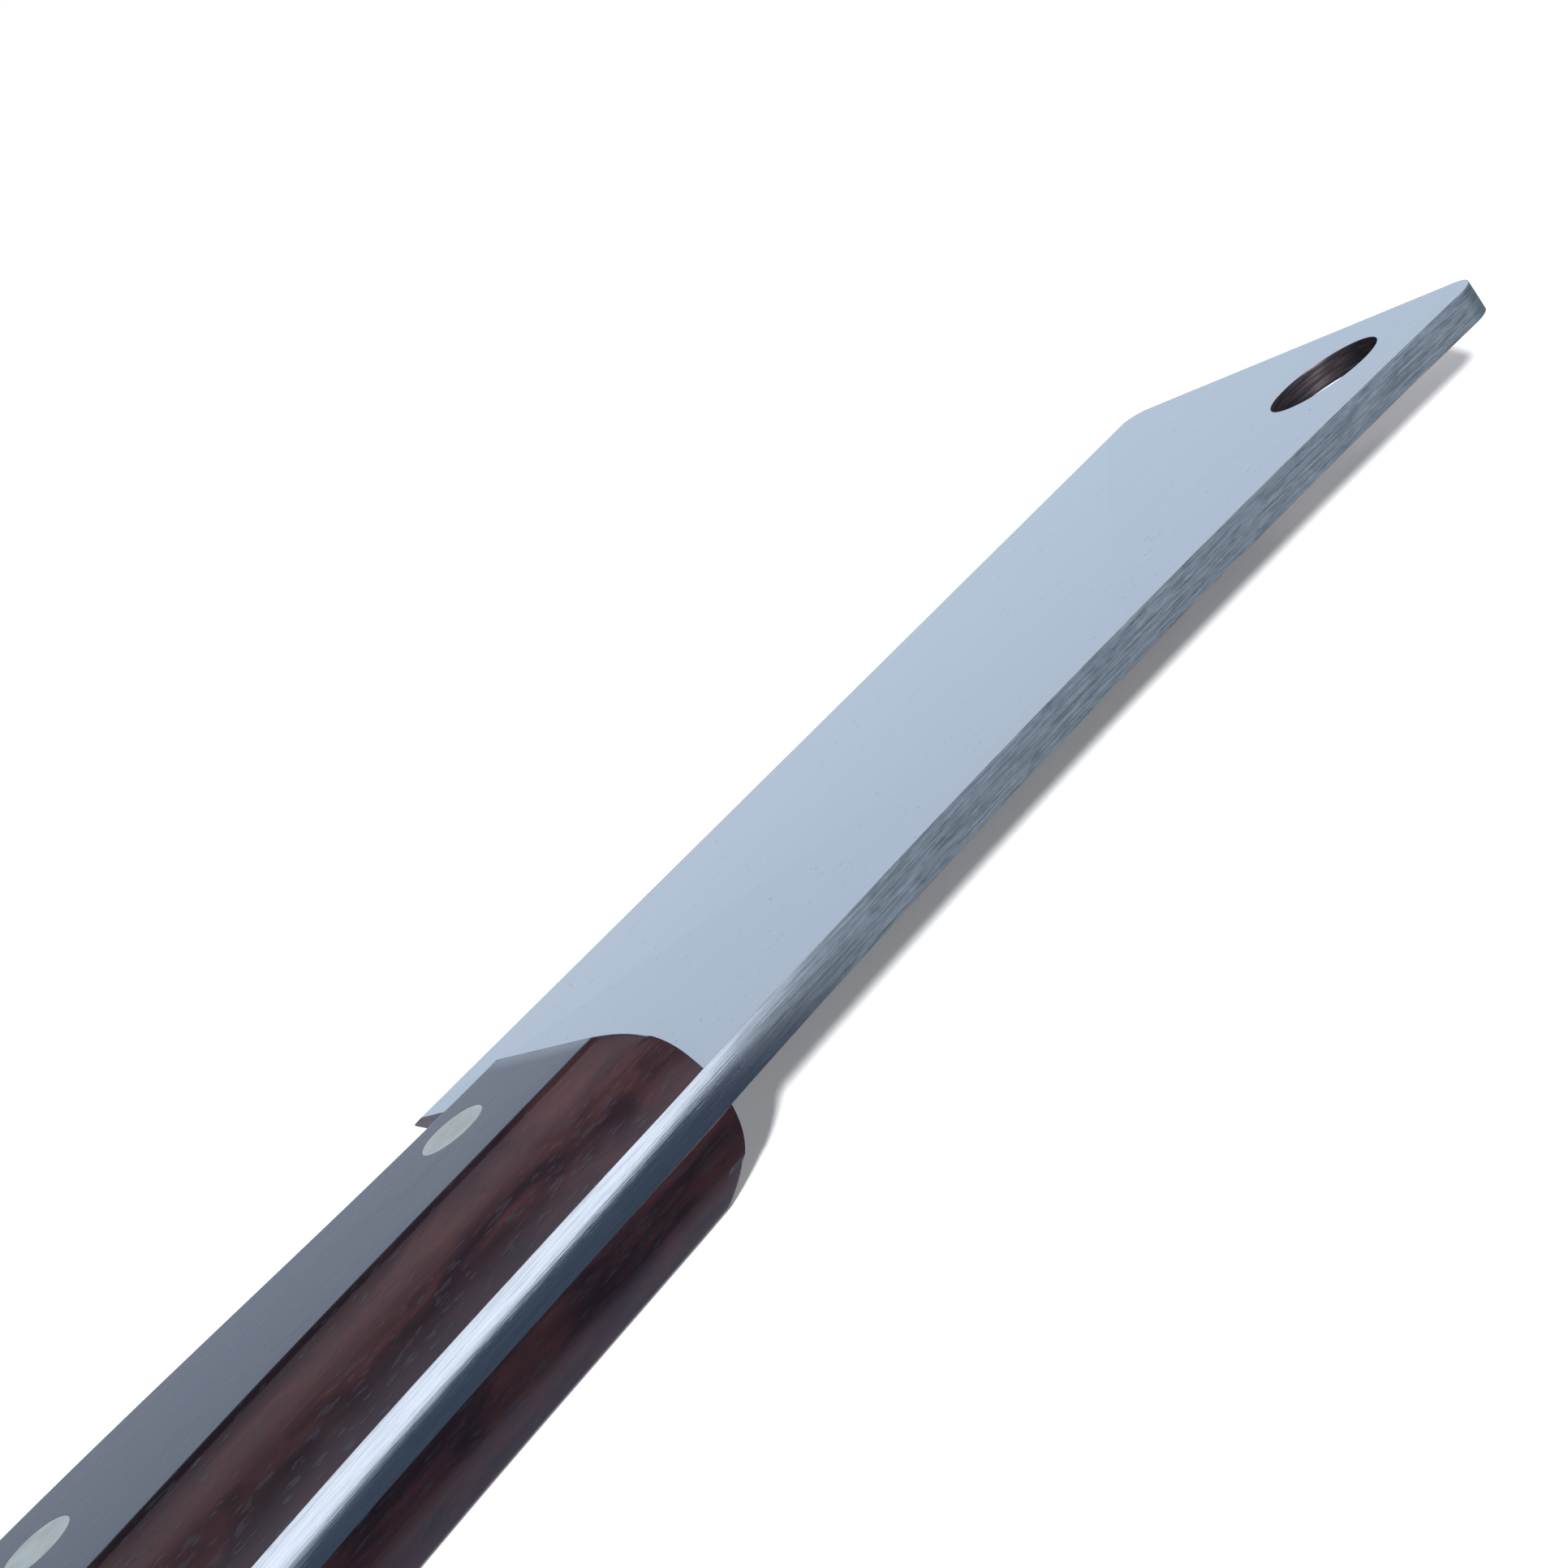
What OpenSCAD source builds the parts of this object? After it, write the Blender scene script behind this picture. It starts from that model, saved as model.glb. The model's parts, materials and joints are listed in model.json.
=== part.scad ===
// Small butcher's cleaver: one steel blade with a full tang, two wooden scales and
// three two-piece press rivets.
// The knife lies on its right side. X runs to the front of the blade, Y from the spine
// to the cutting edge, Z up through the left side. The origin is at the middle of the
// bounding box, on the surface that the knife lies on.

/* [Blade] */
// Thickness of the spine where it leaves the handle
spine_t = 3.85; // [3:0.05:4.5]
// Half thickness lost for each millimetre forward
taper_forward = 0.0039; // [0:0.0001:0.005]
// Half thickness lost for each millimetre from the spine to the edge
taper_down = 0.0205; // [0.01:0.0005:0.0215]
// Radius of the hollow sweep of the spine
spine_sweep_r = 562; // [450:1:900]
// Distance from the handle's line down to the cutting edge, at the top of the sweep
edge_drop = 58.7; // [54:0.1:62]
// Angle at which the cutting edge rises towards the front
edge_angle = 4.36; // [0:0.01:6]
// Distance of the heel ahead of the top of the sweep
heel_x = 13.7; // [13:0.1:18]
// Distance of the blade's front ahead of the top of the sweep, on the handle's line
front_x = 133.9; // [110:0.1:150]
// Slant of the blade's front
front_angle = 10.6; // [0:0.1:20]
// Radius of the corner at the top of the front
tip_r = 4.5; // [2:0.1:8]
// Radius of the corner at the bottom of the front
toe_r = 4; // [1:0.1:8]
// Angle of each side of the cutting bevel
bevel_angle = 16; // [12:0.5:20]
// Thickness left at the cutting edge
edge_t = 0.2; // [0.1:0.05:0.4]
// Diameter of the hang hole
hang_hole_d = 13; // [8:0.1:15]
// Distance of the hang hole behind the blade's front
hang_hole_back = 12.8; // [12:0.1:20]
// Distance of the hang hole below the handle's line
hang_hole_down = 1; // [0:0.1:8]

/* [Handle] */
// Distance of the handle's front ahead of the top of the sweep
grip_front = 10.3; // [8:0.1:11]
// Length of the handle
grip_l = 123; // [121:1:140]
// Thickness of the handle at its front
grip_t = 18.4; // [16:0.1:20]
// Angle at which each side of the handle spreads towards the butt
grip_spread = 0.15; // [0:0.05:1]
// Height of the handle at its front
grip_h = 28.9; // [27:0.1:33]
// Swell of the belly
belly = 6.5; // [3:0.5:8]
// Swell of the belly at the butt
butt_drop = 4; // [0:0.5:6]
// Dip in the handle's back
back_dip = 1.1; // [0:0.1:2]
// Height of the rounding along the back
back_round = 4.1; // [3:0.1:7]
// Height of the rounding along the belly
belly_round = 8.8; // [5:0.1:10]
// Distance by which the scales' rounded front ends lean back
front_lean = 3.8; // [0:0.1:5]
// Crown of the steel between the scales
crown = 0.35; // [0.1:0.05:0.8]

/* [Rivets] */
// Distance between rivets
rivet_pitch = 44; // [40:0.1:46]
// Distance of the front rivet behind the top of the sweep
rivet_back = 3; // [2:0.1:6]
// Distance of the rivets above the handle's middle line
rivet_lift = 0.2; // [0:0.1:1]
// Diameter of a rivet head
head_d = 6.1; // [5.5:0.1:8]
// Thickness of a rivet head
head_t = 1.8; // [1.2:0.1:2.5]
// Outer diameter of a rivet's tube
tube_d = 4.8; // [4:0.1:5.2]
// Diameter of a rivet's stud, which is pressed into the tube
stud_d = 3.2; // [2.5:0.1:3.4]

/* [Hidden] */
$fn = 64;

steel = "#a9b8c9";
rosewood = "#4b3130";
nickel_silver = "#c3c2b4";

far = 400;                // reaches past the whole knife
half_t = spine_t / 2;
butt_x = grip_front - grip_l;
rivet_count = 3;
tang_play = 0.1;          // gap around a tube in the tang
tube_floor = 0.5;         // metal left at the closed end of a tube
stud_gap = 0.8;           // air left past the end of a stud
choil_r = 2;              // radius between the handle's belly and the heel
tang_lap = 1.5;           // length of the ground blade that reaches into the tang
tang_step = 0.03;         // step from each flat of the tang to the ground blade
butt_r = 12;              // length of the rounding that ends the handle
butt_thin = 0.45;         // share of a scale's thickness lost in that rounding
crown_run = 16;           // length over which the flat spine turns into the crown
lean_run = 12;            // length over which a scale's front end turns upright
lean_bend = 3.3;          // how late in a scale's thickness its front end leans
round_from = 20;          // turn of each rounding at the tang
round_to = 40;            // turn of each rounding at the flat side
corner_steps = 10;        // straight steps in a rounded corner
sweep_steps = 24;         // straight steps along the spine
round_steps = 8;          // straight steps across the rounding of a scale
body_stations = 22;       // cross sections along the straight part of the handle
butt_stations = 8;        // cross sections along its rounded butt

// ---- Side view of the blade, with the top of the spine's sweep at x = 0 ----
function arc(c, r, from, to) =
    [for (i = [0:corner_steps])
        let (a = from + (to - from) * i / corner_steps) c + r * [cos(a), sin(a)]];
function spine_y(x) = sqrt(spine_sweep_r ^ 2 - x ^ 2) - spine_sweep_r;
function edge_y(x) = edge_drop - x * tan(edge_angle);

// The tip's corner touches the sweep of the spine and the straight front.
sweep_c = [0, -spine_sweep_r];
tip_base = [front_x - tip_r / cos(front_angle), 0];
tip_way = [sin(front_angle), cos(front_angle)];
tip_along = (tip_base - sweep_c) * tip_way;
tip_gap = (tip_base - sweep_c) * (tip_base - sweep_c) - (spine_sweep_r + tip_r) ^ 2;
tip_c = tip_base + tip_way * (sqrt(tip_along ^ 2 - tip_gap) - tip_along);
tip_turn = atan2(sweep_c.y - tip_c.y, sweep_c.x - tip_c.x);

// The toe's corner touches the front and the cutting edge.
toe_base_x = front_x - toe_r / cos(front_angle);
toe_base_y = edge_drop - toe_r / cos(edge_angle);
toe_y = (toe_base_y - toe_base_x * tan(edge_angle))
    / (1 + tan(front_angle) * tan(edge_angle));
toe_c = [toe_base_x + toe_y * tan(front_angle), toe_y];

// ---- Outline of the handle ----
// A smooth hump of height 1 at x = at, which fades to 0 at a distance of reach.
function hump(x, at, reach) =
    abs(x - at) < reach ? (1 + cos(180 * (x - at) / reach)) / 2 : 0;
function straight_back(x) =
    back_dip * (hump(x, grip_front - 40, 40) + hump(x, butt_x, 40));
function straight_belly(x) =
    grip_h + belly * hump(x, grip_front - 65, 66.8) + butt_drop * hump(x, butt_x, 40);

// The outline closes on its middle line along the rounded butt.
function butt_in(x) = max(0, (butt_x + butt_r - x) / butt_r);
function butt_open(x) = sqrt(1 - 0.9 * butt_in(x) ^ 2);
function middle(x) = (straight_back(x) + straight_belly(x)) / 2;
function back_y(x) = middle(x) - (middle(x) - straight_back(x)) * butt_open(x);
function belly_y(x) = middle(x) + (straight_belly(x) - middle(x)) * butt_open(x);
function crown_at(x) = crown * (1 - 0.85 * hump(x, grip_front, crown_run));
function flank_z(x) = grip_t / 2 + tan(grip_spread) * (grip_front - x);
function scale_z(x) =
    let (z = flank_z(max(x, butt_x + butt_r)))
    z - (z - half_t) * butt_thin * butt_in(x) ^ 2;

stations = concat(
    [for (i = [0:body_stations]) grip_front - (grip_l - butt_r) * i / body_stations],
    [for (i = [1:butt_stations]) butt_x + butt_r * (1 - sin(90 * i / butt_stations))]
);

// ---- The box around the knife ----
flank = flank_z(butt_x + butt_r);
front_end = toe_c.x + toe_r;
top_y = tip_c.y - tip_r;
centre = [(butt_x + front_end) / 2, (top_y + edge_y(heel_x)) / 2];

module place() {
    translate([-centre.x, -centre.y, flank]) children();
}

module other_side() {
    mirror([0, 0, 1]) children();
}

// ---- Skin over a row of cross sections ----
module skin(rings) {
    n = len(rings[0]);
    last = (len(rings) - 1) * n;
    polyhedron(
        points = [for (ring = rings) each ring],
        faces = [
            for (j = [0:n / 2 - 2]) [n - 1 - j, n - 2 - j, j + 1, j],
            for (i = [0:len(rings) - 2], j = [0:n - 1])
                let (a = i * n + j, b = i * n + (j + 1) % n)
                each [[a, b, a + n], [b, b + n, a + n]],
            for (j = [0:n / 2 - 2])
                [last + j, last + j + 1, last + n - 2 - j, last + n - 1 - j]
        ],
        convexity = 6
    );
}

// The tang is flat on both sides and crowned along its back and its belly.
function tang_ring(x) =
    let (half = round_steps / 2)
    concat(
        [for (i = [half:-1:-half])
            [x, back_y(x) + crown_at(x) * (i / half) ^ 2, half_t * i / half]],
        [for (i = [-half:half])
            [x, belly_y(x) - crown_at(x) * (i / half) ^ 2, half_t * i / half]]
    );

// A scale is flat inside and out. Each rounding is part of an oval that ends in an edge
// along the flat side, and the front end is rounded back.
function round_y(k) =
    let (a = round_from + (round_to - round_from) * k)
    (cos(round_from) - cos(a)) / (cos(round_from) - cos(round_to));
function round_z(k) =
    let (a = round_from + (round_to - round_from) * k)
    (sin(a) - sin(round_from)) / (sin(round_to) - sin(round_from));
function lean(x) = front_lean * max(0, 1 - (grip_front - x) / lean_run);
function scale_ring(x) =
    let (
        out = scale_z(x - lean(x)) - half_t,
        top = back_y(x) + crown_at(x),
        low = belly_y(x) - crown_at(x),
        upper = back_round - crown_at(x),
        lower = belly_round - crown_at(x),
        fit = min(1, (low - top) / (upper + lower + 4)),
        ks = [for (i = [0:round_steps]) i / round_steps]
    )
    concat(
        [for (i = [round_steps:-1:0]) let (k = ks[i])
            [x - lean(x) * round_z(k) ^ lean_bend,
             top + fit * upper * round_y(k), half_t + out * round_z(k)]],
        [for (k = ks)
            [x - lean(x) * round_z(k) ^ lean_bend,
             low - fit * lower * round_y(k), half_t + out * round_z(k)]]
    );

// ---- Blade ----
module blade_outline() {
    start_x = grip_front - tang_lap;
    polygon(concat(
        [for (i = [0:sweep_steps])
            let (x = start_x + (tip_c.x - start_x) * i / (sweep_steps + 1))
            [x, spine_y(x)]],
        arc(tip_c, tip_r, tip_turn, -front_angle),
        arc(toe_c, toe_r, -front_angle, 90 - edge_angle),
        [[heel_x, edge_y(heel_x)]],
        arc([heel_x - choil_r, grip_h + choil_r], choil_r, 0, -90),
        [[start_x, grip_h - tang_lap]]
    ));
}

module below() {
    translate([-far, -far, -far]) cube([2 * far, 2 * far, far]);
}

// The left side of the blade is one ground plane and one cutting bevel.
module under_left_faces() {
    translate([grip_front - tang_lap, 0, half_t - tang_step])
        rotate([-atan(taper_down), atan(taper_forward), 0]) below();
}
module under_left_bevel() {
    translate([0, edge_drop, edge_t / 2])
        rotate([0, 0, -edge_angle]) rotate([-bevel_angle, 0, 0]) below();
}

module ground_blade() {
    intersection() {
        translate([0, 0, -half_t]) linear_extrude(spine_t) blade_outline();
        under_left_faces();
        other_side() under_left_faces();
        under_left_bevel();
        other_side() under_left_bevel();
    }
}

module blade() {
    color(steel) place() difference() {
        union() {
            ground_blade();
            skin([for (x = stations) tang_ring(x)]);
        }
        translate([front_x - hang_hole_back, hang_hole_down, 0])
            cylinder(d = hang_hole_d, h = far, center = true);
        for (i = [0:rivet_count - 1])
            at_rivet(i) cylinder(d = tube_d + 2 * tang_play, h = far, center = true);
    }
}

// ---- Scales ----
module left_half_scale() {
    difference() {
        skin([for (x = stations) scale_ring(x)]);
        for (i = [0:rivet_count - 1]) at_rivet(i) {
            cylinder(d = tube_d, h = far, center = true);
            translate([0, 0, seat_z(i)]) cylinder(d = head_d, h = far);
        }
    }
}

module left_scale() {
    color(rosewood) place() left_half_scale();
}

module right_scale() {
    color(rosewood) place() other_side() left_half_scale();
}

// ---- Rivets ----
function rivet_x(i) = -rivet_back - i * rivet_pitch;
function rivet_y(i) = middle(rivet_x(i)) - rivet_lift;
function seat_z(i) = flank_z(rivet_x(i)) - head_t;
module at_rivet(i) {
    translate([rivet_x(i), rivet_y(i), 0]) children();
}

// A head is ground off level with the side of the handle.
module rivet_head(i) {
    intersection() {
        at_rivet(i) translate([0, 0, seat_z(i)]) cylinder(d = head_d, h = 2 * head_t);
        translate([grip_front, 0, grip_t / 2]) rotate([0, grip_spread, 0]) below();
    }
}

module rivet_stud(i) {
    stud_end = tube_floor + stud_gap - seat_z(i);
    color(nickel_silver) place() union() {
        rivet_head(i);
        at_rivet(i) translate([0, 0, stud_end])
            cylinder(d = stud_d, h = seat_z(i) + head_t / 2 - stud_end);
    }
}

module rivet_tube(i) {
    color(nickel_silver) place() difference() {
        union() {
            other_side() rivet_head(i);
            at_rivet(i) translate([0, 0, -seat_z(i) - head_t / 2])
                cylinder(d = tube_d, h = 2 * seat_z(i) + head_t / 2);
        }
        at_rivet(i) translate([0, 0, tube_floor - seat_z(i)])
            cylinder(d = stud_d, h = far);
    }
}

blade();
left_scale();
right_scale();
rivet_stud(0);  // front_rivet_stud
rivet_stud(1);  // middle_rivet_stud
rivet_stud(2);  // rear_rivet_stud
rivet_tube(0);  // front_rivet_tube
rivet_tube(1);  // middle_rivet_tube
rivet_tube(2);  // rear_rivet_tube
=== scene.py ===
# %% [markdown]
# # A small butcher's cleaver
#
# The knife is one steel blade whose full tang runs back between two rosewood scales, and three
# press rivets hold them together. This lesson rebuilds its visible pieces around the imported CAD
# model: the steel is cut from a flat outline and ground, as a knife maker would do it, the scales
# are skinned over cross sections, and the rivets are turned. Everything is in metres in the
# model's own frame: X runs to the front of the blade, Y from the spine to the cutting edge and Z
# up through the left side.

import json
from math import atan2, cos, pi, radians, sin, sqrt, tan

import bmesh
import bpy
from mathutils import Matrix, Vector


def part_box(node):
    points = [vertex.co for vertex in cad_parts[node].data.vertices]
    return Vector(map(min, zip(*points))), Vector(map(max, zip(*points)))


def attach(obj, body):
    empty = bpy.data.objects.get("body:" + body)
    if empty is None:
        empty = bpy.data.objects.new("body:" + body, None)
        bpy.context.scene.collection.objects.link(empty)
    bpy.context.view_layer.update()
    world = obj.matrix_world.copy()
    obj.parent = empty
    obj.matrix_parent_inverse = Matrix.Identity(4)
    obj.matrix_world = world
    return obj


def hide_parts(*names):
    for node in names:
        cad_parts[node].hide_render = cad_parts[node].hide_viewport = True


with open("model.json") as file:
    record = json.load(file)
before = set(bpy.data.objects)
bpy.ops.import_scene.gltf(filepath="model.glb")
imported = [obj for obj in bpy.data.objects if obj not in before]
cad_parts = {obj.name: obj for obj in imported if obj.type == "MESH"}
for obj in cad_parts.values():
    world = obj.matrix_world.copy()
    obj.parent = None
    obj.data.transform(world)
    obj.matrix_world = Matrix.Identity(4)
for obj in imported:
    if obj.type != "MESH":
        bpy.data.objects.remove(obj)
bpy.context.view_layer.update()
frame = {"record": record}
scene = bpy.context.scene

# %% [markdown]
# ## Places taken from the frame
#
# The knife is drawn with its own zero: x = 0 at the top of the spine's hollow sweep, y = 0 on
# the straight line of the handle's back, and z = 0 in the blade's middle plane. Lengths in this
# lesson are in millimetres, and one helper turns them into the frame's metres. A shared zero
# keeps every outline readable and puts each piece where the CAD has it, with no fitting by eye.

# %% The knife's own zero
MM = 0.001
blade_low, blade_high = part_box("blade")
scale_low, scale_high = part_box("left_scale")
RIVETS = ("front", "middle", "rear")
GRIP_FRONT = 10.3        # the handle's front, ahead of the zero
HEEL_X, HEEL_Y = 13.7, 57.656    # the sharp heel, the lowest point of the blade


def middle(node):
    low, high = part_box(node)
    return (low + high) / 2


ZERO = Vector((
    scale_high.x - GRIP_FRONT * MM,
    blade_high.y - HEEL_Y * MM,
    (blade_low.z + blade_high.z) / 2,
))


def mount_place(name):
    """Where a mount of the record lies."""
    return Vector(next(m["pos_m"] for m in frame["record"]["mounts"] if m["name"] == name))


def at(x, y, z=0.0):
    """A point given in millimetres from the knife's own zero, in the frame's metres."""
    return ZERO + Vector((x, y, z)) * MM


def from_zero(point):
    """The other way round: a point of the frame in millimetres from the knife's zero."""
    return (point - ZERO) / MM


BUTT_X = from_zero(scale_low).x
HALF_T = (blade_high.z - blade_low.z) / 2 / MM
print(f"handle from x {BUTT_X:.1f} to {GRIP_FRONT:.1f} mm, steel {2 * HALF_T:.2f} mm thick")

# %% [markdown]
# ## Camera
#
# A short normal lens close to the blade's spine side, low over the left side and rolled so that
# the knife climbs across the picture. The camera is placed by where it stands and what it faces,
# because those two points say more than three rotation angles would.

# %% Camera
LENS = 57.6
CAMERA_AT = (-85.2, -166.5, 61.2)
CAMERA_AIM = (0.5645, 0.7933, -0.2278)
CAMERA_ROLL = -37.1


def aim(obj, way, roll=0.0):
    """Turns a camera or light so that it faces along way, rolled about that line."""
    turn = Vector(way).to_track_quat("-Z", "Y").to_matrix().to_4x4()
    place = obj.location.copy()
    obj.matrix_world = turn
    obj.rotation_euler.rotate_axis("Z", radians(roll))
    obj.location = place


camera_data = bpy.data.cameras.new("camera")
camera_data.lens = LENS
camera_data.sensor_width = 36.0
camera_data.clip_start = 0.005
camera = bpy.data.objects.new("camera", camera_data)
scene.collection.objects.link(camera)
camera.location = at(*CAMERA_AT)
aim(camera, CAMERA_AIM, CAMERA_ROLL)
scene.camera = camera
print("camera at, mm:", [round(c * 1000) for c in camera.location])

# %% [markdown]
# ## Material helpers
#
# Every finish is procedural and reads Object coordinates, which are millimetre-true here because
# all objects sit at the origin. The helpers below add nodes in one line each, so that a material
# reads as a recipe: stretch the coordinates along the grain, make noise, shape it with a ramp,
# and feed it to colour, roughness or bump.

# %% Node helpers
class Recipe:
    """A material under construction, with short calls for the nodes that finishes need."""

    def __init__(self, name):
        self.material = bpy.data.materials.new(name)
        self.material.use_nodes = True
        self.nodes = self.material.node_tree.nodes
        self.links = self.material.node_tree.links
        self.shader = self.nodes["Principled BSDF"]
        self.place = self.nodes.new("ShaderNodeTexCoord").outputs["Object"]

    def join(self, source, target):
        if hasattr(source, "is_output"):
            self.links.new(source, target)
        else:
            target.default_value = source

    def stretched(self, scale, turn=(0, 0, 0), start=(0, 0, 0)):
        node = self.nodes.new("ShaderNodeMapping")
        self.links.new(self.place, node.inputs["Vector"])
        node.inputs["Scale"].default_value = scale
        node.inputs["Rotation"].default_value = [radians(a) for a in turn]
        node.inputs["Location"].default_value = start
        return node.outputs["Vector"]

    def noise(self, vector, detail=2.0, rough=0.5, distortion=0.0):
        node = self.nodes.new("ShaderNodeTexNoise")
        self.links.new(vector, node.inputs["Vector"])
        node.inputs["Scale"].default_value = 1.0
        node.inputs["Detail"].default_value = detail
        node.inputs["Roughness"].default_value = rough
        node.inputs["Distortion"].default_value = distortion
        return node.outputs["Fac"]

    def level(self, value, low, high, to_low=0.0, to_high=1.0, smooth=False):
        node = self.nodes.new("ShaderNodeMapRange")
        node.interpolation_type = "SMOOTHSTEP" if smooth else "LINEAR"
        self.join(value, node.inputs["Value"])
        node.inputs["From Min"].default_value = low
        node.inputs["From Max"].default_value = high
        node.inputs["To Min"].default_value = to_low
        node.inputs["To Max"].default_value = to_high
        return node.outputs["Result"]

    def math(self, operation, a, b):
        node = self.nodes.new("ShaderNodeMath")
        node.operation = operation
        self.join(a, node.inputs[0])
        self.join(b, node.inputs[1])
        return node.outputs["Value"]

    def mix(self, factor, a, b):
        node = self.nodes.new("ShaderNodeMix")
        node.data_type = "RGBA"
        self.join(factor, node.inputs["Factor"])
        self.join(a, node.inputs["A"])
        self.join(b, node.inputs["B"])
        return node.outputs["Result"]

    def ramp(self, value, stops):
        node = self.nodes.new("ShaderNodeValToRGB")
        self.join(value, node.inputs["Fac"])
        while len(node.color_ramp.elements) < len(stops):
            node.color_ramp.elements.new(0.5)
        for element, (position, colour) in zip(node.color_ramp.elements, stops):
            element.position = position
            element.color = (*colour, 1)
        return node.outputs["Color"]

    def axis(self, name):
        node = self.nodes.new("ShaderNodeSeparateXYZ")
        self.links.new(self.place, node.inputs["Vector"])
        return node.outputs[name]

    def bump(self, height, depth, strength=1.0, under=None):
        node = self.nodes.new("ShaderNodeBump")
        self.join(height, node.inputs["Height"])
        node.inputs["Distance"].default_value = depth
        node.inputs["Strength"].default_value = strength
        if under is not None:
            self.links.new(under, node.inputs["Normal"])
        return node.outputs["Normal"]

    def feed(self, **sockets):
        for name, value in sockets.items():
            self.join(value, self.shader.inputs[name.replace("_", " ")])
        return self.material


# %% [markdown]
# ## Steel
#
# One piece of stainless steel carries four finishes. The broad sides are ground very fine and
# mirror a soft sky. The spine keeps coarse lengthwise brushing, whose tone is darkened as painted
# shade, and the same strip is polished where it shows between the scales along the handle's
# back. The cutting bevel has scratches that run across the edge. The hang hole's wall, the heel's
# back and most of the strip along the handle's belly get a dark tone that is painted shade. They
# are separate materials because their roughness and direction differ, and each one gets faint
# clouds, pits or streaks, so that no surface is a single flat colour.

# %% Ground side of the blade
def ground_steel():
    steel = Recipe("steel_ground")
    cloud = steel.noise(steel.stretched((18, 26, 26)), detail=3)
    lines = steel.noise(steel.stretched((60, 3200, 3200), turn=(0, 0, 4)), detail=2)
    specks = steel.noise(steel.stretched((1500, 1500, 1500)), detail=1)
    pits = steel.level(specks, 0.27, 0.22, smooth=True)
    tone = steel.ramp(
        steel.level(cloud, 0.3, 0.7), [(0, (0.69, 0.67, 0.675)), (1, (0.76, 0.73, 0.73))]
    )
    tone = steel.mix(steel.math("MULTIPLY", pits, 0.35), tone, (0.22, 0.24, 0.27, 1))
    rough = steel.math(
        "ADD", steel.level(cloud, 0.3, 0.7, 0.17, 0.22), steel.math("MULTIPLY", lines, 0.06)
    )
    fine = steel.bump(lines, 0.000002, 0.35)
    return steel.feed(
        Base_Color=tone, Metallic=1.0, Roughness=rough,
        Normal=steel.bump(pits, -0.00001, 0.4, under=fine),
    )


# %% Brushed and polished strip along the spine
POLISH_START = 30.0      # ahead of the zero, where the polishing begins
POLISH_FULL = 2.0        # ahead of the zero, where it is complete


def spine_steel():
    steel = Recipe("steel_spine")
    streaks = steel.noise(steel.stretched((170, 700, 7600), turn=(0, 4, 0)), detail=3, rough=0.65)
    marks = steel.noise(
        steel.stretched((700, 900, 2600), turn=(0, 12, 0)), detail=2, distortion=0.4
    )
    polish = steel.level(
        steel.axis("X"), at(POLISH_START, 0).x, at(POLISH_FULL, 0).x, smooth=True
    )
    brushing = steel.math(
        "ADD", steel.math("MULTIPLY", streaks, 0.75), steel.math("MULTIPLY", marks, 0.25)
    )
    # Painted shade: the brushed tone is darker than bare steel, standing in for the dark that the
    # spine mirrors; the streaks in it are real brushing.
    brushed_and_shaded_tone = steel.ramp(
        brushing,
        [(0.34, (0.19, 0.23, 0.27)), (0.5, (0.35, 0.41, 0.47)), (0.66, (0.52, 0.59, 0.66))],
    )
    polished = steel.ramp(streaks, [(0.25, (0.50, 0.55, 0.62)), (0.6, (0.72, 0.76, 0.82))])
    rough = steel.mix(polish, (0.46, 0.46, 0.46, 1), (0.16, 0.16, 0.16, 1))
    depth = steel.level(polish, 0, 1, 1.0, 0.7)
    return steel.feed(
        Base_Color=steel.mix(polish, brushed_and_shaded_tone, polished), Metallic=1.0, Roughness=rough,
        Normal=steel.bump(steel.math("MULTIPLY", streaks, depth), 0.00002, 0.8),
    )


# %% Cutting bevel, and the painted shade of the hole, heel and belly
def bevel_steel():
    steel = Recipe("steel_bevel")
    scratches = steel.noise(steel.stretched((4200, 180, 180), turn=(0, 0, 12)), detail=2)
    tone = steel.ramp(scratches, [(0.3, (0.60, 0.64, 0.69)), (0.7, (0.78, 0.81, 0.85))])
    return steel.feed(
        Base_Color=tone, Metallic=1.0, Roughness=steel.level(scratches, 0.3, 0.7, 0.22, 0.34),
        Normal=steel.bump(scratches, 0.000006, 0.6),
    )


def painted_shade_steel():
    steel = Recipe("steel_painted_shade")
    rings = steel.noise(steel.stretched((300, 300, 5200)), detail=2)
    # Painted shade: this near-black tone stands for the shade in the hang hole and on the heel's
    # back and belly.
    tone = steel.ramp(rings, [(0.3, (0.040, 0.034, 0.040)), (0.7, (0.105, 0.088, 0.10))])
    return steel.feed(
        Base_Color=tone, Metallic=0.9, Roughness=steel.level(rings, 0.3, 0.7, 0.28, 0.42),
        Normal=steel.bump(rings, 0.00001, 0.6),
    )


steel_finishes = [ground_steel(), spine_steel(), bevel_steel(), painted_shade_steel()]
GROUND, SPINE, BEVEL, PAINTED_SHADE_FINISH = range(4)
print("steel finishes:", [m.name for m in steel_finishes])

# %% [markdown]
# ## Rosewood
#
# Oiled rosewood is almost black in its dark bands and red-brown between them, with short open
# pores that run along the grain. Wide bands come from noise stretched along the handle, pores
# from much finer noise stretched the same way, and both share one slight turn, so that the grain
# doesn't look ruled. The tone deepens from the front towards the butt. The surface is dielectric
# under a thin coat of oil: seen at a low angle it turns grey with the light that it mirrors, just
# by its own reflectance.

# %% Rosewood
GRAIN_TURN = (0, 3, 2)   # degrees by which the grain leans from the handle's line
DARKEST_BEHIND = -70.0       # behind this the wood is at its darkest


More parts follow.
